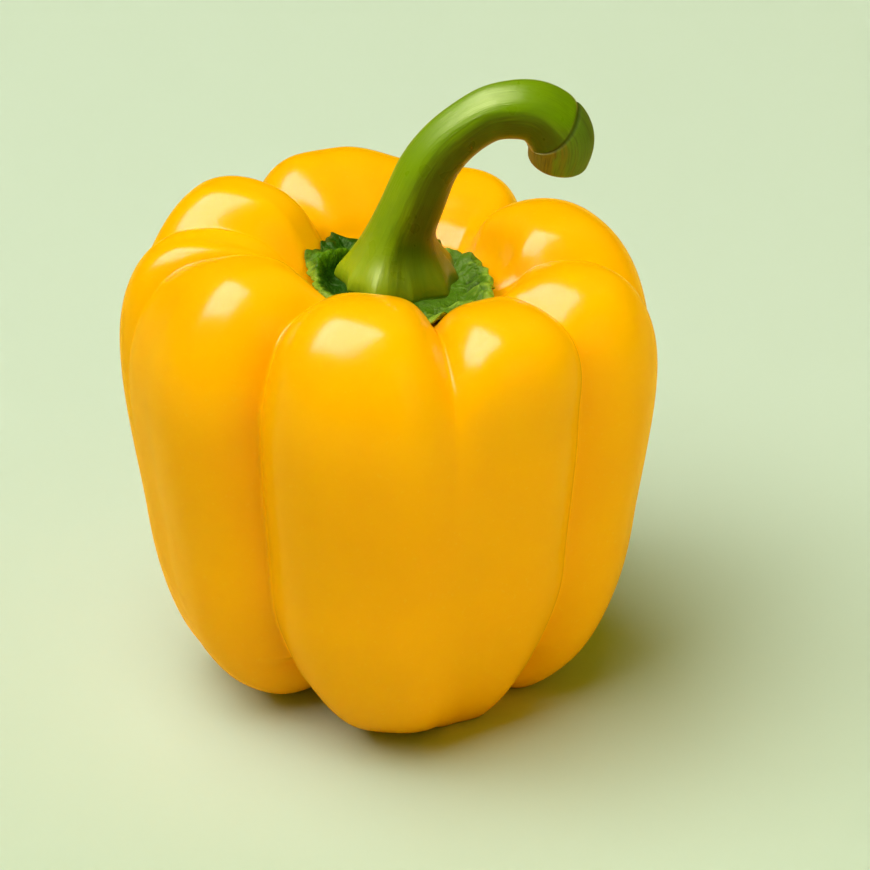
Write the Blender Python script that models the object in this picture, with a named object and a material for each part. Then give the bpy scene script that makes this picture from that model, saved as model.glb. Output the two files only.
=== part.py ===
"""A whole yellow bell pepper standing on its feet: the pod, its calyx and its hooked stem.

Frame: metres, +Z up, the floor at Z = 0 and the Z axis through the middle of the pepper's box.
Azimuths are in degrees about Z: 0 faces -Y, the front, and 90 faces +X, the right.
"""

import math
from typing import NamedTuple

import bmesh
import bpy
from mathutils import Vector
from mathutils.bvhtree import BVHTree

MM = 0.001
WELD = 0.00001  # points closer than this to the floor's plane are taken to lie on it
SHARP = math.radians(35)


class Ring(NamedTuple):
    """One control ring of the pod's profile, in millimetres."""

    radius: float
    height: float
    furrow: float  # how deep a furrow between two main lobes is here
    pinch: float  # how deep a crease within a main lobe is here


class Lobe(NamedTuple):
    """One lobe of the pod, and the crease at its left-hand side as seen from outside."""

    name: str
    azimuth: float  # of the crease, in degrees
    furrow: float  # strength of the crease as a furrow, 0 to 2.5
    pinch: float  # strength of the crease as a pinch, 0 to 2
    swell: float  # how far the lobe's side stands out, in millimetres
    rise: float  # how far the lobe's crown stands up
    foot: float  # how far its foot hangs down
    lean: float  # how far its shoulder stands out
    toe: float  # how far its foot stands out
    tilt: float  # how much higher the outer side of its crown is than the inner side


# The pod's profile, from the middle of the blossom end round the outside to the stem's seat.
RINGS = (
    Ring(0.0, 10.0, 0.0, 0.0),
    Ring(6.0, 9.0, 0.0, 0.0),
    Ring(13.0, 2.5, 3.0, 1.0),
    Ring(19.0, -2.8, 6.5, 1.0),
    Ring(32.7, 7.1, 6.5, 0.0),
    Ring(39.8, 24.0, 4.0, 0.0),
    Ring(40.5, 33.0, 4.5, 0.0),
    Ring(42.2, 43.0, 4.9, 0.0),
    Ring(45.3, 66.5, 5.8, 1.5),
    Ring(39.0, 80.9, 5.4, 7.2),
    Ring(26.8, 81.6, 4.2, 5.3),
    Ring(19.4, 77.6, 0.2, 4.2),
    Ring(18.0, 72.0, 0.4, 0.0),
    Ring(6.5, 68.0, 0.0, 0.0),
    Ring(0.0, 68.0, 0.0, 0.0),
)

# Creases press in towards this upright line inside each lobe, in millimetres.
CORE_RADIUS = 22.0
CORE_LOW = 14.0
CORE_HIGH = 62.0

# Where each measure of a lobe comes in along the profile, in millimetres.
SWELL_RADII = (5.0, 30.0)
RISE_HEIGHTS = (45.0, 78.0)
RISE_RADII = (8.0, 25.0)
TILT_RADII = (18.0, 44.0)
LEAN_HEIGHTS = (58.0, 82.0)
LEAN_RADII = (12.0, 28.0)
FOOT_HEIGHTS = (30.0, 0.0)
FOOT_RADII = (5.0, 20.0)

LOBES = (
    Lobe("front_wide", -40.0, 1.63, 0.0, 1.2, 1.45, -1.05, -1.8, 1.4, 0.6),
    Lobe("front_narrow", 10.3, 0.0, 1.28, -4.7, -1.9, 3.2, 3.95, -1.4, -1.55),
    Lobe("right_front", 52.0, 1.14, 0.0, -3.0, -2.4, 0.0, 0.3, 1.5, -0.3),
    Lobe("right_back", 89.0, 0.0, 0.86, -3.8, -0.7, -0.4, 0.0, 0.4, -1.7),
    Lobe("back_right", 147.5, 1.45, 0.0, 5.4, -4.9, -0.5, -1.75, 0.0, 3.3),
    Lobe("back_left", 186.0, 0.0, 0.0, 5.05, -1.1, -0.5, -1.6, 0.0, 4.8),
    Lobe("left_back", 228.0, 2.2, 0.0, 0.85, 3.85, 0.0, 0.0, 0.0, -0.2),
    Lobe("left_middle", 264.0, 0.0, 0.3, 3.85, -0.7, 1.05, 0.4, 1.8, -0.3),
    Lobe("left_front", 279.0, 0.0, 0.46, 1.8, 0.7, -2.6, -3.8, 4.0, 1.4),
)

MERIDIANS_PER_LOBE = 10
POD_PARALLELS = 30
FURROW_SHARPNESS = 2.15
PINCH_SHARPNESS = 3.4
CREASE_REACH = 31.0  # the most that one side of a crease spans, in degrees
RIDGE_REACH = 12.0  # the most, on each side of a crease, over which two lobes' measures blend
CREASE_ROUNDING = 0.06  # share of that side over which the bottom of the crease is rounded

# The calyx's points, going round: azimuth in degrees and reach in millimetres.
CALYX_POINTS = ((-12, 16.5), (24, 17.5), (73, 16.5), (134, 15.5), (214, 18.5), (240, 17.5), (300, 14.5))
CALYX_MIDDLE = (-2.0, -1.0)  # its centre in X and Y, in millimetres from the pod's axis
CALYX_BITE = 0.13  # share of the reach by which the margin draws in between two points
CALYX_LIFT = 0.5 * MM  # of its underside above the pod's seat
CALYX_TOP = 73.4 * MM  # the level of the flat that carries the stem
CALYX_RIM = 1.0 * MM  # the thickness of its margin
CALYX_FLAT = 10.8 * MM  # the radius of that flat
CALYX_MERIDIANS = 56
CALYX_PARALLELS = 14


class Section(NamedTuple):
    """A round section of the stem, in millimetres: its centre in the XZ plane, and its radius."""

    x: float
    z: float
    radius: float


STEM_SECTIONS = (
    Section(-1.8, 73.7, 9.8),
    Section(-2.0, 76.5, 8.3),
    Section(-1.5, 80.2, 6.1),
    Section(0.3, 86.0, 5.2),
    Section(3.8, 93.7, 4.8),
    Section(9.3, 99.6, 4.5),
    Section(16.0, 102.6, 4.6),
    Section(21.3, 101.2, 5.1),
    Section(24.3, 97.9, 5.9),
    Section(25.9, 94.3, 5.3),
)
STEM_RIBS = 5
STEM_RIB_HEIGHT = 0.3 * MM
STEM_MERIDIANS = 20
STEM_PARALLELS = 40
STEM_CAP = 1.5 / STEM_PARALLELS  # share of the parallels that closes each end
STEM_END_DOME = 1.0 * MM
STEM_UPRIGHT = 0.2  # share of the stem over which its sections turn from level to square with it


def smoothstep(value, low, high):
    """0 below low, 1 above high, and a smooth S between."""
    share = min(max((value - low) / (high - low), 0.0), 1.0)
    return share * share * (3.0 - 2.0 * share)


def lerp(first, second, share):
    return first + (second - first) * share


# ---------------------------------------------------------------- the pod


def spline(control, share):
    """The point at share, 0 to 1, of a uniform cubic B-spline over rows of numbers."""
    along = share * (len(control) - 3)
    span = min(int(along), len(control) - 4)
    f = along - span
    weights = ((1 - f) ** 3, 3 * f**3 - 6 * f**2 + 4, -3 * f**3 + 3 * f**2 + 3 * f + 1, f**3)
    near = control[span : span + 4]
    return [sum(w * row[column] for w, row in zip(weights, near)) / 6 for column in range(len(near[0]))]


def profile(step):
    """Radius, height and crease depths of the pod's profile at step, 0 to 1.

    Each end ring's neighbour is mirrored beyond it, so that the curve meets the axis squarely.
    """
    first = RINGS[1]._replace(radius=-RINGS[1].radius)
    last = RINGS[-2]._replace(radius=-RINGS[-2].radius)
    return spline((first, *RINGS, last), step)


def away_from_core(radius, height):
    """The unit direction, as (out, up), from the nearest point of the core line."""
    level = min(max(height, CORE_LOW), CORE_HIGH)
    out = radius - CORE_RADIUS
    up = height - level
    length = math.hypot(out, up) or 1.0
    return out / length, up / length


def crease(share, sharpness):
    """1 on a crease, falling to 0 at the lobe's ridge, where share is 1."""
    rounded = math.hypot(share, CREASE_ROUNDING) / math.hypot(1.0, CREASE_ROUNDING)
    return max(1.0 - rounded, 0.0) ** sharpness


def lobe_width(index):
    """The angle that a lobe spans, in degrees."""
    here = LOBES[index % len(LOBES)]
    after = LOBES[(index + 1) % len(LOBES)]
    return (after.azimuth - here.azimuth) % 360


def lobe_values(turn):
    """Azimuth, crease strengths and the ridge's measures at turn: 2.5 is mid third lobe."""
    index = int(turn) % len(LOBES)
    share = turn - int(turn)
    here = LOBES[index]
    after = LOBES[(index + 1) % len(LOBES)]
    width = lobe_width(index)
    span = min(width / 2, CREASE_REACH)
    left = min(share * width / span, 1.0)
    right = min((1 - share) * width / span, 1.0)
    furrow = here.furrow * crease(left, FURROW_SHARPNESS) + after.furrow * crease(right, FURROW_SHARPNESS)
    pinch = here.pinch * crease(left, PINCH_SHARPNESS) + after.pinch * crease(right, PINCH_SHARPNESS)
    azimuth = math.radians(here.azimuth + share * width)
    return azimuth, furrow, pinch, ridge_values(index, share)


def ridge_values(index, share):
    """Swell, rise, foot, lean, toe and tilt: a lobe holds its own, and two lobes' blend across a crease."""
    step = 1 if share >= 0.5 else -1
    here = LOBES[index]
    other = LOBES[(index + step) % len(LOBES)]
    width = lobe_width(index)
    near = min(width / 2, RIDGE_REACH)
    far = min(lobe_width(index + step) / 2, RIDGE_REACH)
    past = near - (0.5 - abs(share - 0.5)) * width
    blend = smoothstep(past, 0.0, near + far)
    return [lerp(mine, yours, blend) for mine, yours in zip(here[4:], other[4:])]


def pod_point(turn, step):
    """A point of the pod's skin: the profile, shaped by its lobe and pressed in by its creases."""
    azimuth, furrow_share, pinch_share, ridge = lobe_values(turn)
    swell, rise, drop, lean, toe, tilt = ridge
    radius, height, furrow, pinch = profile(step)
    out, up = away_from_core(radius, height)
    depth = furrow * furrow_share + pinch * pinch_share
    side = smoothstep(radius, *SWELL_RADII)
    crown = smoothstep(height, *RISE_HEIGHTS) * smoothstep(radius, *RISE_RADII)
    shoulder = smoothstep(height, *LEAN_HEIGHTS) * smoothstep(radius, *LEAN_RADII)
    foot = smoothstep(height, *FOOT_HEIGHTS) * smoothstep(radius, *FOOT_RADII)
    lift = rise + tilt * (smoothstep(radius, *TILT_RADII) - 0.5)
    reach = radius + swell * side + lean * shoulder + toe * foot - out * depth
    level = height + lift * crown - drop * foot - up * depth
    x = reach * math.sin(azimuth)
    y = -reach * math.cos(azimuth)
    return Vector((x, y, level)) * MM


# ---------------------------------------------------------------- the calyx


def calyx_reach(azimuth):
    """How far the margin lies from the middle: it draws in between two points."""
    degrees = math.degrees(azimuth) % 360
    for (start, reach), (end, next_reach) in zip(CALYX_POINTS, (*CALYX_POINTS[1:], CALYX_POINTS[0])):
        width = (end - start) % 360
        share = ((degrees - start) % 360) / width
        if share <= 1.0:
            break
    bite = 4 * share * (1 - share) * CALYX_BITE
    return lerp(reach, next_reach, share) * (1 - bite) * MM


def calyx_placer(seat):
    """The function that places the calyx's points over seat, a tree of the pod's faces."""

    def place(turn, step):
        azimuth = turn * math.tau
        share = math.sin(step * math.pi)
        margin = calyx_reach(azimuth)
        reach = margin * share
        x = CALYX_MIDDLE[0] * MM + reach * math.sin(azimuth)
        y = CALYX_MIDDLE[1] * MM - reach * math.cos(azimuth)
        under = seat.ray_cast(Vector((x, y, 1.0)), Vector((0.0, 0.0, -1.0)))[0].z + CALYX_LIFT
        if step < 0.5:
            return Vector((x, y, under))
        top = lerp(CALYX_TOP, under + CALYX_RIM, smoothstep(reach, CALYX_FLAT, margin))
        return Vector((x, y, top))

    return place


# ---------------------------------------------------------------- the stem


def catmull_rom(points, share):
    """The point at share, 0 to 1, of a smooth curve through all the points."""
    padded = (points[0] * 2 - points[1], *points, points[-1] * 2 - points[-2])
    along = share * (len(points) - 1)
    span = min(int(along), len(points) - 2)
    f = along - span
    a, b, c, d = padded[span : span + 4]
    linear = (c - a) * f
    square = (a * 2 - b * 5 + c * 4 - d) * f**2
    cube = (b * 3 - a - c * 3 + d) * f**3
    return (b * 2 + linear + square + cube) / 2


def stem_frame(share):
    """Centre, heading and radius of the stem at share, 0 at its seat to 1 at its tip."""
    sections = [Vector(section) * MM for section in STEM_SECTIONS]
    x, z, radius = catmull_rom(sections, share)
    before = catmull_rom(sections, max(share - 0.01, 0.0))
    after = catmull_rom(sections, min(share + 0.01, 1.0))
    along = Vector((after.x - before.x, 0.0, after.y - before.y)).normalized()
    upright = Vector((0.0, 0.0, 1.0))
    heading = upright.lerp(along, smoothstep(share, 0.0, STEM_UPRIGHT)).normalized()
    return Vector((x, 0.0, z)), heading, radius


def stem_point(turn, step):
    """A point of the stem: a ribbed round section swept along the hooked centreline.

    The first parallels close the flat base, and the last make the tip's slightly domed end face.
    """
    share = min(max((step - STEM_CAP) / (1 - 2 * STEM_CAP), 0.0), 1.0)
    centre, heading, radius = stem_frame(share)
    side = Vector((0.0, -1.0, 0.0))
    across = side.cross(heading)
    angle = turn * math.tau
    reach = radius + STEM_RIB_HEIGHT * math.cos(STEM_RIBS * angle)
    closing = min(step, 1 - step, STEM_CAP) / STEM_CAP
    if step > 0.5:
        centre = centre + heading * STEM_END_DOME * (1 - closing**2)
    return centre + (across * math.cos(angle) + side * math.sin(angle)) * reach * closing


# ---------------------------------------------------------------- building


def skin_material(name, colour, roughness):
    material = bpy.data.materials.new(name)
    material.use_nodes = True
    shader = material.node_tree.nodes["Principled BSDF"]
    shader.inputs["Base Color"].default_value = (*colour, 1.0)
    shader.inputs["Roughness"].default_value = roughness
    shader.inputs["Metallic"].default_value = 0.0
    return material


def flatten_feet(body):
    """Cuts off what lies below the floor, and closes each foot with a flat face at Z = 0."""
    geometry = [*body.verts, *body.edges, *body.faces]
    cut = bmesh.ops.bisect_plane(
        body, geom=geometry, dist=WELD, plane_co=(0.0, 0.0, 0.0), plane_no=(0.0, 0.0, -1.0), clear_outer=True
    )
    rims = [item for item in cut["geom_cut"] if isinstance(item, bmesh.types.BMEdge)]
    bmesh.ops.holes_fill(body, edges=rims)


def closed_body(name, meridians, parallels, place, turns, material):
    """An object shaped from a UV sphere: each vertex moves to place(turn, step).

    turn runs from 0 to turns about Z, and step from 0 at the sphere's lower pole to 1 at its upper.
    """
    body = bmesh.new()
    bmesh.ops.create_uvsphere(body, u_segments=meridians, v_segments=parallels, radius=1.0)
    for vertex in body.verts:
        azimuth = round(math.atan2(vertex.co.y, vertex.co.x) / math.tau * meridians) % meridians
        step = round(math.acos(-max(min(vertex.co.z, 1.0), -1.0)) / math.pi * parallels) / parallels
        vertex.co = place(azimuth / meridians * turns, step)
    flatten_feet(body)
    bmesh.ops.recalc_face_normals(body, faces=body.faces)
    mesh = bpy.data.meshes.new(name)
    body.to_mesh(mesh)
    body.free()
    mesh.shade_smooth()
    mesh.set_sharp_from_angle(angle=SHARP)
    mesh.materials.append(material)
    piece = bpy.data.objects.new(name, mesh)
    bpy.context.scene.collection.objects.link(piece)
    return piece


def make_fruit():
    skin = skin_material("fruit_skin", (0.90, 0.40, 0.004), 0.28)
    meridians = MERIDIANS_PER_LOBE * len(LOBES)
    return closed_body("fruit", meridians, POD_PARALLELS, pod_point, len(LOBES), skin)


def make_calyx(fruit):
    leaf = skin_material("calyx_green", (0.07, 0.17, 0.006), 0.5)
    seat = BVHTree.FromObject(fruit, bpy.context.evaluated_depsgraph_get())
    return closed_body("calyx", CALYX_MERIDIANS, CALYX_PARALLELS, calyx_placer(seat), 1, leaf)


def make_stem():
    stalk = skin_material("stem_green", (0.13, 0.24, 0.01), 0.42)
    return closed_body("stem", STEM_MERIDIANS, STEM_PARALLELS, stem_point, 1, stalk)


def centre_box(pieces):
    """Moves the pieces together, so that the middle of their box stands over the origin."""
    points = [vertex.co for piece in pieces for vertex in piece.data.vertices]
    middle_x = (min(p.x for p in points) + max(p.x for p in points)) / 2
    middle_y = (min(p.y for p in points) + max(p.y for p in points)) / 2
    for piece in pieces:
        piece.location = (-middle_x, -middle_y, 0.0)


def main():
    for old in list(bpy.data.objects):
        bpy.data.objects.remove(old)
    fruit = make_fruit()
    centre_box([fruit, make_calyx(fruit), make_stem()])


main()
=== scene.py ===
"""A yellow bell pepper dressed for a soft studio: the waxy pod, the crinkled calyx and the ribbed stem.

Every surface is a formula on a grid of two parameters, worked out with numpy in millimetres about the
pod's own axis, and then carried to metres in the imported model's frame. Azimuths are about Z: 0 faces
-Y, the front, and 90 degrees faces +X.
"""

import math
from typing import NamedTuple

import bpy
import numpy as np
from mathutils import Matrix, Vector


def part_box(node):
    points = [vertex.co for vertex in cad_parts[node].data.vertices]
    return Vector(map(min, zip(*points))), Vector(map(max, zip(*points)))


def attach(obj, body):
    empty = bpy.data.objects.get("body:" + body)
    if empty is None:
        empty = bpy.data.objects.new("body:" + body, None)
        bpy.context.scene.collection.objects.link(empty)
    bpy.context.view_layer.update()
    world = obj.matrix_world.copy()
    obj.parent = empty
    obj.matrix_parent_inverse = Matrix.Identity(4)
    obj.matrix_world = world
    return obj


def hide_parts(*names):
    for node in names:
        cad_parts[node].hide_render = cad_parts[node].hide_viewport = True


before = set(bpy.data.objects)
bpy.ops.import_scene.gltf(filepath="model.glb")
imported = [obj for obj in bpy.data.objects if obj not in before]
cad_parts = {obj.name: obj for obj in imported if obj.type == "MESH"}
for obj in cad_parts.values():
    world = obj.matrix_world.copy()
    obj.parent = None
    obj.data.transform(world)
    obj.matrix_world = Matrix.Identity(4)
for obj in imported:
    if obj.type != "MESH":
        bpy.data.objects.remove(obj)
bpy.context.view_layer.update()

bl_info = {
    "name": "Yellow Bell Pepper",
    "version": (1, 0, 0),
    "blender": (4, 5, 0),
    "location": "View3D > Sidebar > Pepper",
    "description": "Builds a waxy yellow bell pepper with its calyx and hooked stem, and a soft studio",
    "category": "Object",
}

MM = 0.001
TAU = math.tau


# ================================================================ measures of the pod


class Ring(NamedTuple):
    """One control ring of the pod's profile, in millimetres."""

    radius: float
    height: float
    furrow: float  # how deep a furrow between two main lobes is here
    pinch: float  # how deep a crease within a main lobe is here


class Lobe(NamedTuple):
    """One lobe of the pod, and the crease at its left-hand side as seen from outside."""

    name: str
    azimuth: float  # of the crease, in degrees
    furrow: float  # strength of the crease as a furrow
    pinch: float  # strength of the crease as a pinch
    swell: float  # how far the lobe's side stands out, in millimetres
    rise: float  # how far the lobe's crown stands up
    foot: float  # how far its foot hangs down
    lean: float  # how far its shoulder stands out
    toe: float  # how far its foot stands out
    tilt: float  # how much higher the outer side of its crown is than the inner side


# The profile runs from the middle of the blossom end round the outside to the stem's seat.
RINGS = (
    Ring(0.0, 10.0, 0.0, 0.0),
    Ring(6.0, 9.0, 0.0, 0.0),
    Ring(13.0, 2.5, 3.0, 1.0),
    Ring(19.0, -2.8, 6.5, 1.0),
    Ring(32.7, 7.1, 6.5, 0.0),
    Ring(39.8, 24.0, 4.0, 0.0),
    Ring(40.5, 33.0, 4.5, 0.0),
    Ring(42.2, 43.0, 4.9, 0.0),
    Ring(45.3, 66.5, 5.8, 1.5),
    Ring(39.0, 80.9, 5.4, 7.2),
    Ring(26.8, 81.6, 4.2, 5.3),
    Ring(19.4, 77.6, 0.2, 4.2),
    Ring(18.0, 72.0, 0.4, 0.0),
    Ring(6.5, 68.0, 0.0, 0.0),
    Ring(0.0, 68.0, 0.0, 0.0),
)

LOBES = (
    Lobe("front_wide", -40.0, 1.63, 0.0, 1.2, 1.45, -1.05, -1.8, 1.4, 0.6),
    Lobe("front_narrow", 10.3, 0.0, 1.28, -4.7, -1.9, 3.2, 3.95, -1.4, -1.55),
    Lobe("right_front", 52.0, 1.14, 0.0, -3.0, -2.4, 0.0, 0.3, 1.5, -0.3),
    Lobe("right_back", 89.0, 0.0, 0.86, -3.8, -0.7, -0.4, 0.0, 0.4, -1.7),
    Lobe("back_right", 147.5, 1.45, 0.0, 5.4, -4.9, -0.5, -1.75, 0.0, 3.3),
    Lobe("back_left", 186.0, 0.0, 0.0, 5.05, -1.1, -0.5, -1.6, 0.0, 4.8),
    Lobe("left_back", 228.0, 2.2, 0.0, 0.85, 3.85, 0.0, 0.0, 0.0, -0.2),
    Lobe("left_middle", 264.0, 0.0, 0.3, 3.85, -0.7, 1.05, 0.4, 1.8, -0.3),
    Lobe("left_front", 279.0, 0.0, 0.46, 1.8, 0.7, -2.6, -3.8, 4.0, 1.4),
)

# Creases press in towards this upright line inside each lobe, in millimetres.
CORE_RADIUS = 22.0
CORE_LOW = 14.0
CORE_HIGH = 62.0

# A lobe's own measures come in between these radii and heights, in millimetres.
SWELL_RADII = (5.0, 30.0)
RISE_HEIGHTS = (45.0, 78.0)
RISE_RADII = (8.0, 25.0)
TILT_RADII = (18.0, 44.0)
LEAN_HEIGHTS = (58.0, 82.0)
LEAN_RADII = (12.0, 28.0)
FOOT_HEIGHTS = (30.0, 0.0)
FOOT_RADII = (5.0, 20.0)
CREASE_REACH = 31.0  # the most that one side of a crease spans, in degrees
RIDGE_REACH = 12.0  # the most that the blend between two ridges spans on one side of the crease
FURROW_SHARPNESS = 2.15
PINCH_SHARPNESS = 3.4
CREASE_ROUNDING = 0.035
POD_COLUMNS_PER_LOBE = 40
COLUMN_CROWDING = 0.6  # how much closer the columns stand beside a crease
POD_ROWS = 240
SEAT_STEPS = (0.70, 1.0)  # where along the profile the stem's hollow lies
SEAT_HALVINGS = 26
BOX_GRID = (481, 121)  # columns and rows that find the pod's box

# ================================================================ measures of the calyx and the stem

# The calyx's points, going round: azimuth in degrees, reach and height in millimetres.
CALYX_POINTS = (
    (22, 17.5, 73.2),
    (62, 17.4, 74.6),
    (128, 14.8, 74.8),
    (152, 14.2, 75.0),
    (176, 14.8, 75.0),
    (200, 16.4, 75.0),
    (219, 18.2, 76.2),
    (254, 16.2, 75.3),
    (300, 15.0, 74.6),
    (345, 15.5, 74.0),
)
CALYX_MIDDLE = (-2.0, -1.0)  # x and y from the pod's axis
CALYX_BITE = 0.09  # how far the margin draws in between two points, as a share of its reach
CALYX_SAG = 0.4  # how far it hangs down there
CALYX_CRINKLES = ((0.22, 19, 0.6), (0.14, 43, 2.0))  # of the margin: height, count and phase
CALYX_LIFT = 0.45  # the gap over the pod's skin
CALYX_TOP = 71.9  # the level of the flat that carries the stem
CALYX_FLAT = 9.4  # its radius
CALYX_FADE = 2.0  # how far past the flat the wrinkles grow in
CALYX_CUP = (0.64, 0.97)  # shares of the reach between which the sheet rises to its margin
CALYX_RIM = 1.3  # thickness at the margin
CALYX_THINNEST = 0.2
CALYX_ROUNDING = 10  # power of the ellipse that rounds the margin
CALYX_RIGHT = (-4.0, 6.0)  # between these x the crumples and pleats grow
CALYX_LEFT_SHARE = 0.35  # of the crumples that is left on the left
CALYX_CRUMPLES = ((3.2, 5, 0.4, 0.45), (1.6, 8, -0.7, 0.2))  # cell, seed, slant and height
CALYX_PLEATS = 26
CALYX_PLEAT_HEIGHT = 0.35
CALYX_PLEAT_WANDER = 3.0
CALYX_LUMP_HEIGHT = 0.5
CALYX_FOLD_RADIUS = 13.2
CALYX_FOLD_WIDTH = 0.8
CALYX_FOLD_HEIGHT = 1.6
CALYX_FOLD_WANDER = 0.8
CALYX_FOLD_AZIMUTHS = (200, 222, 262, 285)  # where the fold on the left fades in and out
CALYX_VALLEY_RADIUS = 11.2
CALYX_VALLEY_WIDTH = 1.2
CALYX_VALLEY_DEPTH = 0.5
RIDGE_SHARES = (0.45, 1.1, 0.3)  # of the fold, the pleats and the valley in the ridge layer
LATTICE_CELLS = 64
CALYX_COLUMNS = 540
CALYX_ROWS = 170


class Section(NamedTuple):
    """A section of the stem, in millimetres: its centre and its radius."""

    x: float
    y: float
    z: float
    radius: float


STEM_SECTIONS = (
    Section(-1.9, 0.0, 72.2, 9.7),
    Section(-2.1, 0.0, 75.0, 9.3),
    Section(-2.0, 0.0, 78.2, 7.1),
    Section(-1.1, 0.0, 82.2, 5.4),
    Section(0.5, 0.0, 86.4, 5.0),
    Section(2.0, 0.0, 90.4, 4.85),
    Section(3.8, 0.0, 94.0, 4.6),
    Section(6.4, 0.0, 97.3, 4.4),
    Section(9.4, 0.0, 99.9, 4.3),
    Section(12.7, 0.2, 101.8, 4.4),
    Section(16.2, 0.5, 102.4, 4.65),
    Section(19.7, 1.0, 101.9, 4.95),
    Section(22.5, 1.5, 99.8, 5.3),
    Section(24.0, 2.1, 96.8, 5.4),
    Section(23.7, 2.6, 93.3, 4.9),
)
STEM_LENGTH = 52.0  # along its centreline
STEM_CAP = 0.03  # share of the grid's rows that close each end
PATH_STEP = 0.002  # share of the length either side of a point that gives the path's heading
STEM_UPRIGHT = (0.05, 0.32)  # shares of the length between which the sections turn to the path
STEM_FOOT = 0.035  # share of the length over which the foot rounds in
STEM_TUCK = 1.3  # how far it rounds in
STEM_FLARE = 0.22  # share of the length over which the foot's flare fades
STEM_RING = 0.89  # share of the length where the end's scar begins, on the front
RING_TILT = 0.028  # of that share, earlier on the outside of the hook and later on the inside
RIBS = 5
RIB_ANGLE = math.radians(68)  # of the first rib
RIB_HEIGHT = 0.030  # as a share of the radius, as the next two
RIB_GROWTH = 0.010  # added at the foot
FOOT_RIB_HEIGHT = 0.055  # of the sharp ribs that open at the foot
RIB_FADE = 0.03  # share of the length over which the ribs fade before the ring
RING_WIDTH = 0.006
RING_DEPTH = 0.22
SCAR_LIP = 0.05
SCAR_LIP_WIDTH = 0.015
SCAR_DOME = 2.2  # how far the scar bulges
CAP_POWER = 0.8  # below 1, the dome is fuller than an ellipse
STEM_COLUMNS = 180
STEM_ROWS = 420


# ================================================================ measures of the stage, in metres

CAMERA_ELEVATION = math.radians(27.45)
CAMERA_DISTANCE = 0.62
CAMERA_LENS = 154.0  # in millimetres, as the sensor
CAMERA_AIM = (0.0039, 0.042)  # to the right of the pod's axis, and above the floor
CAMERA_LIFT = 0.002  # up in the picture
CAMERA_SENSOR = 36.0
CAMERA_NEAR = 0.01
FLOOR_HALF = 6.0
LAMP_TARGET = (0.0, 0.0, 0.06)
FILL_COLOUR = (0.92, 1.0, 0.05, 1.0)
MIRRORED_FILL = 0.25  # share of the fill that mirrored rays see


class Softbox(NamedTuple):
    """A square softbox: where it hangs as seen from the pod, in metres and degrees, and its colour."""

    name: str
    azimuth: float
    elevation: float
    distance: float
    size: float
    colour: tuple
    turned: float  # about the line from the pod to it, in degrees
    share: float  # of the key's or the front panel's power
    diffuse: bool  # whether it lights surfaces evenly
    glossy: bool  # whether the waxy skin mirrors it
    pod_only: bool  # whether it leaves everything but the pod alone


KEY = Softbox("key_softbox", -66, 66, 3.0, 2.9, (1.0, 0.985, 0.94), 0, 1.0, True, False, False)
SHEEN = Softbox("sheen_softbox", -84, 63, 3.0, 2.8, (0.9, 0.77, 1.0), 38, 2.9, False, True, False)
FRONT = Softbox("front_panel", 42, 26, 2.5, 2.0, (1.0, 0.96, 0.80), 0, 1.0, True, False, True)
BACK = Softbox("back_panel", 150, 50, 2.5, 2.0, (1.0, 0.97, 0.85), 0, 0.2, True, False, True)


# ================================================================ numpy helpers


def smoothstep(value, low, high):
    """0 below low, 1 above high, and a smooth S between, for arrays."""
    share = np.clip((value - low) / (high - low), 0.0, 1.0)
    return share * share * (3.0 - 2.0 * share)


def spline_rows(control, share):
    """Points at share, 0 to 1, of a uniform cubic B-spline over the rows of control."""
    along = share * (len(control) - 3)
    span = np.minimum(along.astype(int), len(control) - 4)
    f = (along - span)[..., None]
    weights = ((1 - f) ** 3, 3 * f**3 - 6 * f**2 + 4, -3 * f**3 + 3 * f**2 + 3 * f + 1, f**3)
    return sum(weight * control[span + shift] for shift, weight in enumerate(weights)) / 6


def through_points(points, share):
    """Points at share, 0 to 1, of the natural cubic spline through the rows of points.

    The curve's second derivatives at the points solve one small linear system.
    """
    count = len(points)
    system = np.eye(count)
    right = np.zeros_like(points)
    inner = np.arange(1, count - 1)
    system[inner, inner] = 4.0
    system[inner, inner - 1] = 1.0
    system[inner, inner + 1] = 1.0
    right[1:-1] = 6.0 * (points[2:] - 2.0 * points[1:-1] + points[:-2])
    bend = np.linalg.solve(system, right)
    along = share * (count - 1)
    span = np.minimum(along.astype(int), count - 2)
    f = (along - span)[..., None]
    g = 1.0 - f
    straight = g * points[span] + f * points[span + 1]
    return straight + ((g**3 - g) * bend[span] + (f**3 - f) * bend[span + 1]) / 6.0


def every_pair(across, rows):
    """Each value of across with each step from 0 to 1 in that many rows, as two flat arrays."""
    values, steps = np.meshgrid(across, np.linspace(0.0, 1.0, rows))
    return values.ravel(), steps.ravel()


def angles_round(columns):
    """That many angles round a full turn, evenly spaced, in radians."""
    return np.arange(columns) / columns * TAU


def unit(vectors):
    """The vectors at length 1."""
    return vectors / np.maximum(np.linalg.norm(vectors, axis=-1, keepdims=True), 1e-12)


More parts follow.
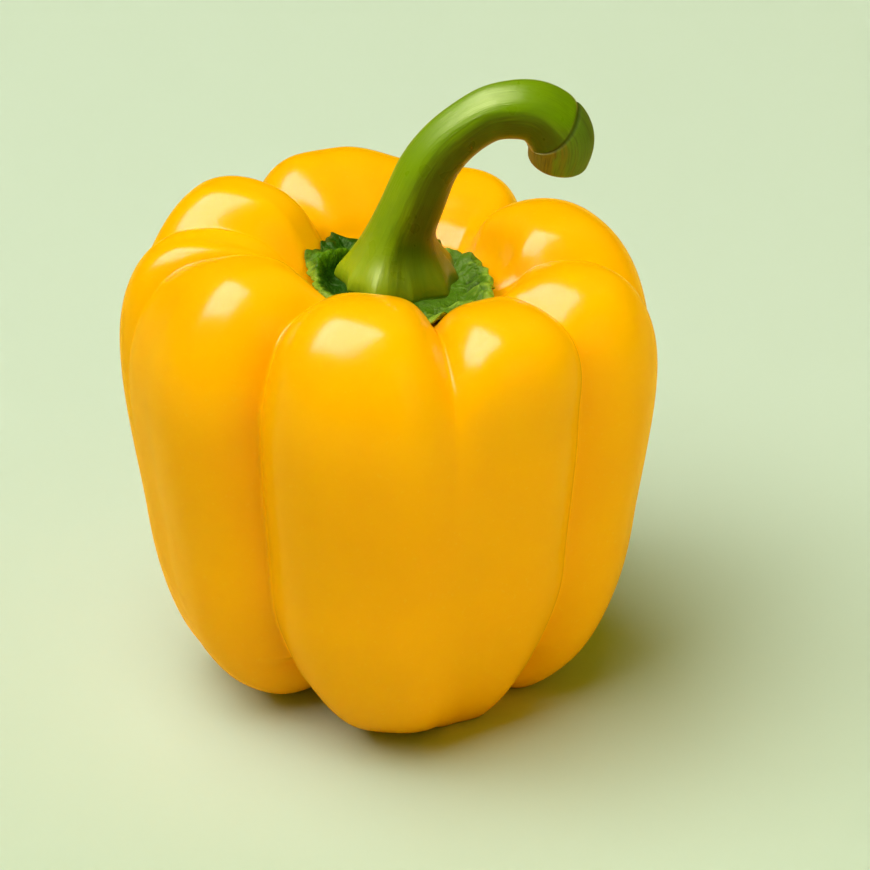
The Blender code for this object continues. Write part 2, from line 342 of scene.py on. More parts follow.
def closed_piece(name, points, rows, material, layers):
    """A closed mesh object from rows of points, in millimetres about the pod's axis.

    Columns wrap round, and each of the first and last rows is one point repeated, which becomes
    a pole with a fan of triangles. layers holds, under each name, a number or a vector per point.
    """
    grid = (points * MM + pod_shift()).reshape(rows, -1, 3)
    columns = grid.shape[1]
    inner = rows - 2
    points = np.concatenate([grid[0, :1], grid[1:-1].reshape(-1, 3), grid[-1, :1]])
    index = 1 + np.arange(inner * columns).reshape(inner, columns)
    after = np.roll(index, -1, axis=1)
    quads = np.stack([index[:-1], after[:-1], after[1:], index[1:]], axis=-1).reshape(-1, 4)
    low = np.stack([np.zeros(columns, int), after[0], index[0]], axis=-1)
    high = np.stack([np.full(columns, len(points) - 1), index[-1], after[-1]], axis=-1)
    loops = np.concatenate([quads.ravel(), low.ravel(), high.ravel()])
    sizes = np.concatenate([np.full(len(quads), 4), np.full(2 * columns, 3)])
    starts = np.concatenate([[0], np.cumsum(sizes)[:-1]])
    mesh = bpy.data.meshes.new(name)
    mesh.vertices.add(len(points))
    mesh.vertices.foreach_set("co", points.astype(np.float32).ravel())
    mesh.loops.add(len(loops))
    mesh.loops.foreach_set("vertex_index", loops.astype(np.int32))
    mesh.polygons.add(len(sizes))
    mesh.polygons.foreach_set("loop_start", starts.astype(np.int32))
    mesh.polygons.foreach_set("loop_total", sizes.astype(np.int32))
    mesh.update(calc_edges=True)
    mesh.validate()
    mesh.shade_smooth()
    for layer, values in layers.items():
        values = values.reshape(rows, columns, -1)
        size = values.shape[2]
        flat = np.concatenate([values[0, :1], values[1:-1].reshape(-1, size), values[-1, :1]])
        kind, key = ("FLOAT_VECTOR", "vector") if size == 3 else ("FLOAT", "value")
        attribute = mesh.attributes.new(layer, kind, "POINT")
        attribute.data.foreach_set(key, flat.astype(np.float32).ravel())
    mesh.materials.append(material)
    piece = bpy.data.objects.new(name, mesh)
    bpy.context.scene.collection.objects.link(piece)
    return piece


# ================================================================ the pod


def crease(share, sharpness):
    """High on a crease, and 0 where share is 1: (1 - share) ** sharpness, with its tip rounded off."""
    rounded = np.hypot(share, CREASE_ROUNDING) / math.hypot(1.0, CREASE_ROUNDING)
    return np.maximum(1.0 - rounded, 0.0) ** sharpness


def around_the_lobes(turn):
    """Azimuth, furrow, pinch and ridge at turn, which counts lobes: 2.5 is mid third lobe.

    Each side of a crease spans half the lobe, or the crease's reach if that is less. The ridge's
    swell, rise, foot, lean, toe and tilt hold over the lobe's middle, and blend across the crease
    by a smooth S of the angle into the neighbour's.
    """
    lobes = np.array([lobe[1:] for lobe in LOBES], float)
    widths = (np.roll(lobes[:, 0], -1) - lobes[:, 0]) % 360
    spans = np.minimum(widths / 2, CREASE_REACH)
    blends = np.minimum(widths / 2, RIDGE_REACH)
    flats = widths / 2 - blends
    index = np.floor(turn).astype(int) % len(lobes)
    share = turn - np.floor(turn)
    after = (index + 1) % len(lobes)
    width, span = widths[index], spans[index]
    azimuth = np.radians(lobes[index, 0] + share * width)
    left = np.minimum(share * width / span, 1.0)
    right = np.minimum((1 - share) * width / span, 1.0)
    furrow = lobes[index, 1] * crease(left, FURROW_SHARPNESS)
    furrow = furrow + lobes[after, 1] * crease(right, FURROW_SHARPNESS)
    pinch = lobes[index, 2] * crease(left, PINCH_SHARPNESS)
    pinch = pinch + lobes[after, 2] * crease(right, PINCH_SHARPNESS)
    other = np.where(share >= 0.5, after, (index - 1) % len(lobes))
    away = np.abs(share - 0.5) * width - flats[index]
    blend = smoothstep(away, 0.0, blends[index] + blends[other])[:, None]
    ridge = lobes[index, 3:] * (1 - blend) + lobes[other, 3:] * blend
    return azimuth, furrow, pinch, ridge.T


def pod_surface(turn, step):
    """Points and crease depths of the pod's skin, in millimetres, for arrays of turn and step alike.

    The profile is a B-spline over the control rings. Each lobe swells it outwards, lifts and tilts
    its crown, leans its shoulder and sets its foot, and each crease presses it towards the lobe's
    core line by the crease's depth there.
    """
    before = RINGS[1]._replace(radius=-RINGS[1].radius)
    beyond = RINGS[-2]._replace(radius=-RINGS[-2].radius)
    control = np.array([before, *RINGS, beyond])
    radius, height, furrow, pinch = np.moveaxis(spline_rows(control, step), -1, 0)
    azimuth, furrow_share, pinch_share, ridge = around_the_lobes(turn)
    swell, rise, drop, lean, toe, tilt = ridge
    out = radius - CORE_RADIUS
    up = height - np.clip(height, CORE_LOW, CORE_HIGH)
    length = np.maximum(np.hypot(out, up), 1e-9)
    depth = furrow * furrow_share + pinch * pinch_share
    side = smoothstep(radius, *SWELL_RADII)
    crown = smoothstep(height, *RISE_HEIGHTS) * smoothstep(radius, *RISE_RADII)
    shoulder = smoothstep(height, *LEAN_HEIGHTS) * smoothstep(radius, *LEAN_RADII)
    foot = smoothstep(height, *FOOT_HEIGHTS) * smoothstep(radius, *FOOT_RADII)
    reach = radius + swell * side + lean * shoulder + toe * foot - out / length * depth
    lift = rise + tilt * (smoothstep(radius, *TILT_RADII) - 0.5)
    level = height + lift * crown - drop * foot - up / length * depth
    points = np.stack([reach * np.sin(azimuth), -reach * np.cos(azimuth), level], axis=-1)
    return points, depth


def turn_of(azimuth):
    """The count of lobes at an azimuth in radians: the inverse of around_the_lobes."""
    edges = np.array([lobe.azimuth for lobe in LOBES] + [LOBES[0].azimuth + 360], float)
    degrees = (np.degrees(azimuth) - edges[0]) % 360 + edges[0]
    return np.interp(degrees, edges, np.arange(len(edges)))


def seat_height(x, y):
    """Height of the pod's skin under (x, y) in the stem's hollow, all in millimetres.

    It halves the stretch of profile between crown and pole until the skin's radius is the point's.
    """
    turn = turn_of(np.arctan2(x, -y))
    target = np.hypot(x, y)
    low = np.full_like(target, SEAT_STEPS[0])
    high = np.full_like(target, SEAT_STEPS[1])
    for _ in range(SEAT_HALVINGS):
        middle = (low + high) / 2
        points, _ = pod_surface(turn, middle)
        outside = np.hypot(points[:, 0], points[:, 1]) > target
        low = np.where(outside, middle, low)
        high = np.where(outside, high, middle)
    return points[:, 2]


def pod_shift():
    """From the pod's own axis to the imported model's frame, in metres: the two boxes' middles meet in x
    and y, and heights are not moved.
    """
    columns, rows = BOX_GRID
    points, _ = pod_surface(*every_pair(np.linspace(0, len(LOBES), columns), rows))
    middle = (points.min(axis=0) + points.max(axis=0)) / 2 * MM
    low, high = (np.array(corner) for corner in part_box("fruit"))
    shift = (low + high) / 2 - middle
    return np.array([shift[0], shift[1], 0.0])


# ================================================================ the calyx


def crumple(x, y, cell, seed):
    """Smooth lumps from -1 to 1: random numbers on a lattice of square cells, blended by a smooth S."""
    lattice = np.random.default_rng(seed).uniform(-1.0, 1.0, (LATTICE_CELLS, LATTICE_CELLS))
    column, row = x / cell + LATTICE_CELLS // 2, y / cell + LATTICE_CELLS // 2
    i, j = np.floor(column).astype(int), np.floor(row).astype(int)
    f, g = smoothstep(column - i, 0.0, 1.0), smoothstep(row - j, 0.0, 1.0)
    low = lattice[i, j] * (1 - f) + lattice[i + 1, j] * f
    high = lattice[i, j + 1] * (1 - f) + lattice[i + 1, j + 1] * f
    return low * (1 - g) + high * g


def calyx_margin(azimuth):
    """Reach and height of the calyx's margin: it draws in by a parabola between two points."""
    table = np.array(CALYX_POINTS, float)
    table = np.vstack([table, table[0] + (360, 0, 0)])
    degrees = (np.degrees(azimuth) - table[0, 0]) % 360 + table[0, 0]
    span = np.clip(np.searchsorted(table[:, 0], degrees, side="right") - 1, 0, len(table) - 2)
    share = (degrees - table[span, 0]) / (table[span + 1, 0] - table[span, 0])
    reach = table[span, 1] * (1 - share) + table[span + 1, 1] * share
    height = table[span, 2] * (1 - share) + table[span + 1, 2] * share
    bite = 4 * share * (1 - share)
    crinkle = sum(size * np.sin(count * azimuth + phase) for size, count, phase in CALYX_CRINKLES)
    return reach * (1 - bite * CALYX_BITE) + crinkle, height - CALYX_SAG * bite


def crumples(x, y):
    """Sharp ridges: one minus twice the size of slanted lumps, added up over two sizes of cell."""
    total = 0.0
    for cell, seed, slant, size in CALYX_CRUMPLES:
        total = total + size * (1 - 2 * np.abs(crumple(x + slant * y, y - slant * x, cell, seed)))
    return total


def curled_fold(x, y, azimuth, radius):
    """Height of the fold: a bell curve of the radius, that wanders and fades in and out with azimuth."""
    start, full, fading, end = CALYX_FOLD_AZIMUTHS
    degrees = np.degrees(azimuth) % 360
    folded = smoothstep(degrees, start, full) * (1 - smoothstep(degrees, fading, end))
    crest = CALYX_FOLD_RADIUS + CALYX_FOLD_WANDER * crumple(x, y, cell=4.0, seed=9)
    return CALYX_FOLD_HEIGHT * folded * np.exp(-(((radius - crest) / CALYX_FOLD_WIDTH) ** 2))


def calyx_surface(azimuth, step):
    """Points of the calyx, in millimetres: step goes from under its middle round the margin to its top.

    The underside lies a little above the pod's seat and lifts off it towards the margin. The top is
    level under the stem and rises by a smooth S to a raised margin, rounded by an ellipse. Lumps,
    crumples, pleats across the rim, a curled fold on the left and a valley round the stem's foot
    are added to the top. The second result is high on ridges and low in valleys, and the third is
    the share of the reach, which is 1 at the margin.
    """
    share = np.sin(step * np.pi)
    reach, brim = calyx_margin(azimuth)
    radius = reach * share
    x = CALYX_MIDDLE[0] + radius * np.sin(azimuth)
    y = CALYX_MIDDLE[1] - radius * np.cos(azimuth)
    outer = smoothstep(radius, CALYX_FLAT, CALYX_FLAT + CALYX_FADE)
    rise = smoothstep(share, *CALYX_CUP)
    right_side = smoothstep(x, *CALYX_RIGHT)
    seat = seat_height(x, y) + CALYX_LIFT
    rough = crumples(x, y) * (CALYX_LEFT_SHARE + (1 - CALYX_LEFT_SHARE) * right_side)
    pleat = np.sin(CALYX_PLEATS * azimuth + CALYX_PLEAT_WANDER * crumple(x, y, cell=5.0, seed=3))
    pleat = CALYX_PLEAT_HEIGHT * pleat * right_side
    lumps = CALYX_LUMP_HEIGHT * crumple(x, y, cell=4.0, seed=13)
    cup = CALYX_TOP + (brim - CALYX_TOP) * rise + (lumps + pleat) * rise
    cup = np.maximum(cup, seat + CALYX_RIM)
    rounded = np.sqrt(np.maximum(1 - share**CALYX_ROUNDING, 0.0))
    sheet = seat * (1 - rise) + (cup - CALYX_RIM * (1 + rounded) / 2) * rise
    sheet = np.maximum(seat, sheet)
    fold = curled_fold(x, y, azimuth, radius)
    valley = np.exp(-(((radius - CALYX_VALLEY_RADIUS) / CALYX_VALLEY_WIDTH) ** 2))
    wrinkles = (rough + fold - CALYX_VALLEY_DEPTH * valley) * outer
    level = cup - CALYX_RIM * (1 - rounded) / 2 + wrinkles * rounded
    height = np.where(step < 0.5, sheet, np.maximum(level, sheet + CALYX_THINNEST * rounded))
    of_fold, of_pleat, of_valley = RIDGE_SHARES
    ridge = rough * outer + of_fold * fold + of_pleat * pleat * rise - of_valley * valley
    return np.stack([x, y, height], axis=-1), ridge, share


# ================================================================ the stem


def stem_surface(angle, step):
    """Points of the stem, in millimetres: ribbed sections swept along its hooked centreline.

    angle 0 is the outside of the hook, a quarter turn is the front and a half turn the inside. Five
    ribs run along it as a cosine of the angle, and sharper ones, on them and between them, open in
    the flared foot. A bell curve rings the stem with a groove where the scar of its cut end begins.
    The foot is closed flat and the scar by a dome. The other results are the share of the length,
    and how far past the ring the point lies, as such a share.
    """
    sections = np.array(STEM_SECTIONS)
    share = np.clip((step - STEM_CAP) / (1 - 2 * STEM_CAP), 0.0, 1.0)
    path = through_points(sections, share)
    ahead = through_points(sections, np.minimum(share + PATH_STEP, 1.0))[:, :3]
    behind = through_points(sections, np.maximum(share - PATH_STEP, 0.0))[:, :3]
    turn_in = smoothstep(share, *STEM_UPRIGHT)[:, None]
    heading = unit(unit(ahead - behind) * turn_in + np.array([0.0, 0.0, 1.0]) * (1 - turn_in))
    outside = unit(np.cross(heading, np.array([0.0, 1.0, 0.0])))
    front = unit(np.cross(heading, outside))
    flare = 1 - smoothstep(share, 0.0, STEM_FLARE)
    past_ring = share - STEM_RING + RING_TILT * np.cos(angle)
    body = 1 - smoothstep(past_ring, -RIB_FADE, 0.0)
    wave = RIBS * (angle - RIB_ANGLE)
    rib = np.cos(wave) * (RIB_HEIGHT + RIB_GROWTH * flare) * body
    rib = rib + (1 - 2 * np.abs(np.sin(wave))) * FOOT_RIB_HEIGHT * flare**2
    reach = path[:, 3] * (1 + rib)
    reach = reach - STEM_TUCK * np.clip(1 - share / STEM_FOOT, 0.0, 1.0) ** 2
    reach = reach - RING_DEPTH * np.exp(-((past_ring / RING_WIDTH) ** 2))
    reach = reach + SCAR_LIP * smoothstep(past_ring, 0.0, SCAR_LIP_WIDTH)
    closing = np.clip(np.minimum(step, 1 - step) / STEM_CAP, 0.0, 1.0) * np.pi / 2
    dome = np.where(step > 0.5, SCAR_DOME * np.cos(closing), 0.0)
    centre = path[:, :3] + heading * dome[:, None]
    spoke = outside * np.cos(angle)[:, None] + front * np.sin(angle)[:, None]
    points = centre + spoke * (reach * np.sin(closing) ** CAP_POWER)[:, None]
    return points, share, past_ring


# ================================================================ materials

# Colours that the settings leave out.
SKIN_FLECK = (1.0, 0.62, 0.05)
SKIN_SHEEN = (1.0, 0.95, 0.95, 1.0)  # tint of the reflections, as the next
LEAF_SHEEN = (0.85, 1.0, 0.40, 1.0)
LEAF_RIGHT = (0.090, 0.20, 0.004)
LEAF_PAINTED_RIDGE_LIGHT_LEFT = (0.115, 0.270, 0.002)
LEAF_PAINTED_RIDGE_LIGHT_RIGHT = (0.30, 0.48, 0.04)
LEAF_PAINTED_VALLEY_SHADE = (0.015, 0.045, 0.001)
LEAF_RIM = (0.26, 0.42, 0.02)
LEAF_GRAIN = (0.012, 0.05, 0.001)
STALK_PAINTED_SHADE = (0.042, 0.080, 0.0)
STALK_PAINTED_POD_BOUNCE = (0.13, 0.120, 0.001)
STALK_FOOT_PAINTED_HIGHLIGHT = (0.34, 0.46, 0.006)
STALK_CLOUD = (0.10, 0.20, 0.0)
STALK_THREAD = (0.03, 0.07, 0.0)
STALK_BROWN_AND_POD_REFLECTION = (0.22, 0.075, 0.002)
SCAR_LIGHT = (0.15, 0.25, 0.006)
SCAR_BROWN_AND_SHADE = (0.23, 0.16, 0.004)
SCAR_THREAD = (0.06, 0.05, 0.003)
RING_DARK = (0.018, 0.030, 0.001)

MIX_FIRST, MIX_SECOND, MIX_RESULT = 6, 7, 2  # a mix node's sockets for colours


def new_material(name):
    """An empty node material and its Principled shader, already joined to the output."""
    material = bpy.data.materials.new(name)
    material.use_nodes = True
    nodes = material.node_tree.nodes
    nodes.clear()
    output = nodes.new("ShaderNodeOutputMaterial")
    shader = nodes.new("ShaderNodeBsdfPrincipled")
    material.node_tree.links.new(shader.outputs["BSDF"], output.inputs["Surface"])
    return material, shader


class Paint:
    """Short calls that add nodes to one material, each returning the socket that it ends in."""

    def __init__(self, material):
        self.nodes = material.node_tree.nodes
        self.links = material.node_tree.links

    def feed(self, socket, value):
        """Links value to socket if it is a socket, or else sets it."""
        if isinstance(value, bpy.types.NodeSocket):
            self.links.new(value, socket)
        elif isinstance(value, tuple) and len(value) == 3 and socket.type == "RGBA":
            socket.default_value = (*value, 1.0)
        else:
            socket.default_value = value

    def place(self):
        """The point on the piece, in metres."""
        return self.nodes.new("ShaderNodeTexCoord").outputs["Object"]

    def layer(self, name, vector=False):
        """The number or the vector that the mesh holds under this name."""
        node = self.nodes.new("ShaderNodeAttribute")
        node.attribute_name = name
        return node.outputs["Vector" if vector else "Fac"]

    def stretched(self, vector, stretch):
        """The vector times stretch, axis by axis."""
        node = self.nodes.new("ShaderNodeMapping")
        self.links.new(vector, node.inputs["Vector"])
        node.inputs["Scale"].default_value = stretch
        return node.outputs["Vector"]

    def axis(self, vector, name):
        """The vector's X, Y or Z."""
        node = self.nodes.new("ShaderNodeSeparateXYZ")
        self.links.new(vector, node.inputs[0])
        return node.outputs[name]

    def noise(self, vector, scale, detail=2.0, roughness=0.5, distortion=0.0):
        """Soft noise about 0.5, with scale lumps to a unit of the vector."""
        node = self.nodes.new("ShaderNodeTexNoise")
        self.links.new(vector, node.inputs["Vector"])
        node.inputs["Scale"].default_value = scale
        node.inputs["Detail"].default_value = detail
        node.inputs["Roughness"].default_value = roughness
        node.inputs["Distortion"].default_value = distortion
        return node.outputs["Fac"]

    def ranged(self, value, low, high, to_low=0.0, to_high=1.0):
        """value between low and high, carried by a smooth S to between to_low and to_high."""
        node = self.nodes.new("ShaderNodeMapRange")
        node.interpolation_type = "SMOOTHSTEP"
        self.links.new(value, node.inputs["Value"])
        node.inputs["From Min"].default_value = low
        node.inputs["From Max"].default_value = high
        node.inputs["To Min"].default_value = to_low
        node.inputs["To Max"].default_value = to_high
        return node.outputs["Result"]

    def maths(self, kind, first, second):
        """Two numbers added or multiplied, or what else kind says."""
        node = self.nodes.new("ShaderNodeMath")
        node.operation = kind
        self.feed(node.inputs[0], first)
        self.feed(node.inputs[1], second)
        return node.outputs["Value"]

    def blend(self, share, first, second):
        """The colour first where share is 0, and second where it is 1."""
        node = self.nodes.new("ShaderNodeMix")
        node.data_type = "RGBA"
        self.feed(node.inputs[0], share)
        self.feed(node.inputs[MIX_FIRST], first)
        self.feed(node.inputs[MIX_SECOND], second)
        return node.outputs[MIX_RESULT]

    def bump(self, height, distance, below=None):
        """The normal of a surface raised by height times distance, on top of the bump below."""
        node = self.nodes.new("ShaderNodeBump")
        node.inputs["Distance"].default_value = distance
        self.links.new(height, node.inputs["Height"])
        if below is not None:
            self.links.new(below, node.inputs["Normal"])
        return node.outputs["Normal"]


def pod_material(settings):
    """Waxy skin: yellow at the crown, more orange lower down, with soft mottling, and painted light that
    lifts the creases' shade towards the main yellow.
    """
    material, shader = new_material("waxy_pod_skin")
    paint = Paint(material)
    place = paint.place()
    height = paint.axis(place, "Z")
    main, low, deep = settings.skin_colour[:], settings.skin_low_colour[:], settings.skin_deep_colour[:]
    mottle = paint.ranged(paint.noise(place, scale=34.0, detail=2.0), 0.30, 0.75, 0.0, 0.25)
    patch = paint.noise(place, scale=140.0, detail=2.0)
    fleck = paint.ranged(paint.noise(place, scale=1500.0, detail=1.0), 0.66, 0.74, 0.0, 0.10)
    colour = paint.blend(paint.ranged(height, 45 * MM, 88 * MM), low, main)
    colour = paint.blend(mottle, colour, deep)
    colour = paint.blend(paint.ranged(patch, 0.3, 0.75, 0.0, 0.12), colour, deep)
    # Painted light: the deeper creases are lifted towards the main yellow against their shade.
    colour = paint.blend(paint.ranged(paint.layer("crease"), 0.5, 8.0, 0.0, 0.3), colour, main)
    colour = paint.blend(paint.ranged(height, 30 * MM, 0.0, 0.0, 0.4), colour, deep)
    colour = paint.blend(fleck, colour, SKIN_FLECK)
    paint.feed(shader.inputs["Base Color"], colour)
    rough = settings.skin_roughness
    paint.feed(shader.inputs["Roughness"], paint.ranged(patch, 0.3, 0.7, rough - 0.015, rough + 0.015))
    shader.inputs["Specular Tint"].default_value = SKIN_SHEEN
    shader.inputs["Specular IOR Level"].default_value = 0.15
    shader.inputs["Subsurface Weight"].default_value = 0.25
    shader.inputs["Subsurface Radius"].default_value = (1.0, 0.45, 0.05)
    shader.inputs["Subsurface Scale"].default_value = 6.0 * MM
    wave = paint.bump(paint.noise(place, scale=75.0, detail=1.0), 0.08 * MM)
    peel = paint.bump(paint.noise(place, scale=1600.0, detail=1.0), 0.004 * MM, wave)
    paint.feed(shader.inputs["Normal"], peel)
    return material


def calyx_material(settings):
    """Leafy green: painted shade in the hollows, painted light on the crumpled ridges and the fold among
    random blotches, and paler on the front rim.
    """
    material, shader = new_material("crumpled_leaf")
    paint = Paint(material)
    place = paint.place()
    ridge = paint.layer("ridge")
    right_side = paint.ranged(paint.axis(place, "X"), -6 * MM, 10 * MM)
    front = paint.ranged(paint.axis(place, "Y"), 7 * MM, -3 * MM)
    rim = paint.ranged(paint.layer("rim"), 0.90, 0.97, 0.0, 0.85)
    blotch = paint.noise(place, scale=330.0, detail=4.0, roughness=0.6, distortion=0.8)
    grain = paint.noise(place, scale=1400.0, detail=3.0, roughness=0.65)
    leaf = paint.blend(right_side, settings.calyx_colour[:], LEAF_RIGHT)
    # Painted light: the raised ridges and the fold are paler, mixed with random blotches, most of all on
    # the right.
    light = paint.blend(right_side, LEAF_PAINTED_RIDGE_LIGHT_LEFT, LEAF_PAINTED_RIDGE_LIGHT_RIGHT)
    high = paint.maths("ADD", ridge, paint.ranged(blotch, 0.3, 0.7, -0.3, 0.3))
    colour = paint.blend(paint.ranged(high, 0.1, 1.0), leaf, light)
    # Painted shade: the valleys and crevices go dark green.
    colour = paint.blend(paint.ranged(ridge, -0.15, -0.7, 0.0, 0.8), colour, LEAF_PAINTED_VALLEY_SHADE)
    colour = paint.blend(paint.maths("MULTIPLY", rim, front), colour, LEAF_RIM)
    colour = paint.blend(paint.ranged(grain, 0.52, 0.70, 0.0, 0.35), colour, LEAF_GRAIN)
    paint.feed(shader.inputs["Base Color"], colour)
    paint.feed(shader.inputs["Roughness"], paint.ranged(blotch, 0.3, 0.7, 0.30, 0.52))
    shader.inputs["Specular IOR Level"].default_value = 0.15
    shader.inputs["Specular Tint"].default_value = LEAF_SHEEN
    shader.inputs["Subsurface Weight"].default_value = 0.1
    shader.inputs["Subsurface Radius"].default_value = (0.4, 1.0, 0.1)
    shader.inputs["Subsurface Scale"].default_value = 1.0 * MM
    pucker = paint.bump(blotch, 0.9 * MM)
    paint.feed(shader.inputs["Normal"], paint.bump(grain, 0.25 * MM, pucker))
    return material


def stem_material(settings):
    """Stalk green in long streaks, with painted light on the hook's outer side and a painted highlight on
    the foot, and painted shade towards its inner side, which ends in an olive band of painted bounce light
    from the pod and a reddish brown line, partly painted reflection of the pod; olive and brown on the
    end's scar, with painted shade on the scar's inner side.
    """
    material, shader = new_material("ribbed_stalk")
    paint = Paint(material)
    grain_place = paint.layer("grain", vector=True)
    along = paint.layer("along")
    past_ring = paint.layer("past_ring")
    inside = paint.layer("inside")
    long_place = paint.stretched(grain_place, (5.0, 5.0, 0.10))
    fine_place = paint.stretched(grain_place, (22.0, 22.0, 0.25))
    streak = paint.noise(long_place, scale=1.0, detail=4.0, roughness=0.6, distortion=0.3)
    thread = paint.noise(fine_place, scale=1.0, detail=2.0, roughness=0.6)
    cloud = paint.noise(paint.place(), scale=210.0, detail=3.0)
    # Painted light and shade: light green on the hook's outer side, which faces the lamps, and dark towards
    # its inner side, broken by streaks.
    shade = paint.maths("ADD", inside, paint.ranged(streak, 0.3, 0.7, -0.16, 0.16))
    colour = paint.blend(paint.ranged(shade, -0.60, 0.20), settings.stem_colour[:], STALK_PAINTED_SHADE)
    # Painted bounce light: olive on the innermost side, standing for the pod's warm light.
    colour = paint.blend(paint.ranged(shade, 0.40, 1.0), colour, STALK_PAINTED_POD_BOUNCE)
    # Painted highlight: a pale facet on the foot, strongest on its lit outer side.
    foot_lit_side = paint.ranged(shade, 0.2, -0.5, 0.35, 0.9)
    foot = paint.maths("MULTIPLY", paint.ranged(along, 0.24, 0.05), foot_lit_side)
    colour = paint.blend(foot, colour, STALK_FOOT_PAINTED_HIGHLIGHT)
    colour = paint.blend(paint.ranged(cloud, 0.4, 0.7, 0.0, 0.20), colour, STALK_CLOUD)
    colour = paint.blend(paint.ranged(thread, 0.5, 0.75, 0.0, 0.12), colour, STALK_THREAD)
    # A reddish line along the inner side: partly its own brown, partly painted reflection of the yellow
    # pod.
    inner_line = paint.ranged(inside, 0.88, 1.0, 0.0, 0.7)
    brown_and_pod_reflection = paint.maths("MULTIPLY", inner_line, paint.ranged(along, 0.20, 0.35))
    colour = paint.blend(brown_and_pod_reflection, colour, STALK_BROWN_AND_POD_REFLECTION)
    # The scar is paler green on the hook's outer side and browner towards its inner side: partly its own
    # brown, partly painted shade.
    scar_shade = paint.maths("ADD", inside, paint.ranged(streak, 0.35, 0.65, -0.4, 0.4))
    scar = paint.blend(paint.ranged(scar_shade, -0.5, 0.6), SCAR_LIGHT, SCAR_BROWN_AND_SHADE)
    scar = paint.blend(paint.ranged(thread, 0.45, 0.70, 0.0, 0.5), scar, SCAR_THREAD)
    edge = paint.ranged(past_ring, -0.004, 0.006)
    colour = paint.blend(edge, colour, scar)
    from_ring = paint.maths("ABSOLUTE", past_ring, 0.0)
    colour = paint.blend(paint.ranged(from_ring, 0.011, 0.002, 0.0, 0.7), colour, RING_DARK)
    paint.feed(shader.inputs["Base Color"], colour)
    gloss = paint.ranged(cloud, 0.3, 0.7, 0.27, 0.37)
    dull_scar = paint.maths("MULTIPLY", edge, 0.3)
    paint.feed(shader.inputs["Roughness"], paint.maths("ADD", gloss, dull_scar))
    shader.inputs["Specular Tint"].default_value = LEAF_SHEEN
    shader.inputs["Subsurface Weight"].default_value = 0.08
    shader.inputs["Subsurface Radius"].default_value = (0.5, 1.0, 0.1)
    shader.inputs["Subsurface Scale"].default_value = 1.5 * MM
    fibre = paint.bump(streak, 0.14 * MM)
    paint.feed(shader.inputs["Normal"], paint.bump(thread, 0.05 * MM, fibre))
    return material


def floor_material(settings):
    """A pale matte floor with painted shade that deepens it in front; the waxy skin mirrors it in a painted
    warm orange instead of its own colour.
    """
    material, shader = new_material("pale_floor")
    paint = Paint(material)
    # Painted shade: the floor darkens towards the front, standing for the light's falloff.
    front = paint.ranged(paint.axis(paint.place(), "Y"), 0.15, -0.25)
    colour = paint.blend(front, settings.floor_colour[:], settings.floor_front_shade_colour[:])
    # Painted reflection: mirrored rays see the floor in a warm orange rather than its own colour.
    mirrored = paint.nodes.new("ShaderNodeLightPath").outputs["Is Glossy Ray"]
    colour = paint.blend(mirrored, colour, settings.floor_painted_reflection_colour[:])
    paint.feed(shader.inputs["Base Color"], colour)
    shader.inputs["Roughness"].default_value = 0.9
    shader.inputs["Specular IOR Level"].default_value = 0.0
    return material


# ================================================================ the stage


def aim(piece, position, target, turned=0.0):
    """Places a camera or light at position, turns its -Z axis to the target, and rolls it by turned."""
    back = unit(np.array(position) - np.array(target))
    level = unit(np.cross((0.0, 0.0, 1.0), back))
    right = level * math.cos(turned) + np.cross(back, level) * math.sin(turned)
    up = np.cross(back, right)
    matrix = np.eye(4)
    matrix[:3, :3] = np.stack([right, up, back], axis=1)
    matrix[:3, 3] = position
    piece.matrix_world = Matrix(matrix)


def hang(softbox, power, target, pod, stem):
    """Hangs one softbox at its azimuth and elevation, facing the target.

    A pod-only one lights the pod's collection and nothing else. The others light everything, and
    the stem's collection casts no shadow from them.
    """
    azimuth, elevation = math.radians(softbox.azimuth), math.radians(softbox.elevation)
    level = math.cos(elevation)
    away = np.array([level * math.sin(azimuth), -level * math.cos(azimuth), math.sin(elevation)])
    data = bpy.data.lights.new(softbox.name, "AREA")
    data.shape = "SQUARE"
    data.size = softbox.size
    data.energy = power * softbox.share
    data.color = softbox.colour
    lamp = bpy.data.objects.new(softbox.name, data)
    lamp.visible_diffuse = softbox.diffuse
    lamp.visible_glossy = softbox.glossy
    if softbox.pod_only:
        lamp.light_linking.receiver_collection = pod
    else:
        lamp.light_linking.blocker_collection = stem
    bpy.context.scene.collection.objects.link(lamp)
    aim(lamp, target + away * softbox.distance, target, math.radians(softbox.turned))


def studio_air(settings):
    """A yellow-green world that lights everything evenly, and that the skin mirrors only faintly."""
    world = bpy.data.worlds.new("studio_air")
    world.use_nodes = True
    nodes = world.node_tree.nodes
    links = world.node_tree.links
    air = nodes["Background"]
    air.inputs["Color"].default_value = FILL_COLOUR
    ray = nodes.new("ShaderNodeLightPath")
    dim = nodes.new("ShaderNodeMapRange")
    dim.inputs["To Min"].default_value = settings.fill_strength
    dim.inputs["To Max"].default_value = settings.fill_strength * MIRRORED_FILL
    links.new(ray.outputs["Is Glossy Ray"], dim.inputs["Value"])
    links.new(dim.outputs["Result"], air.inputs["Strength"])
    return world


# ================================================================ settings and operators


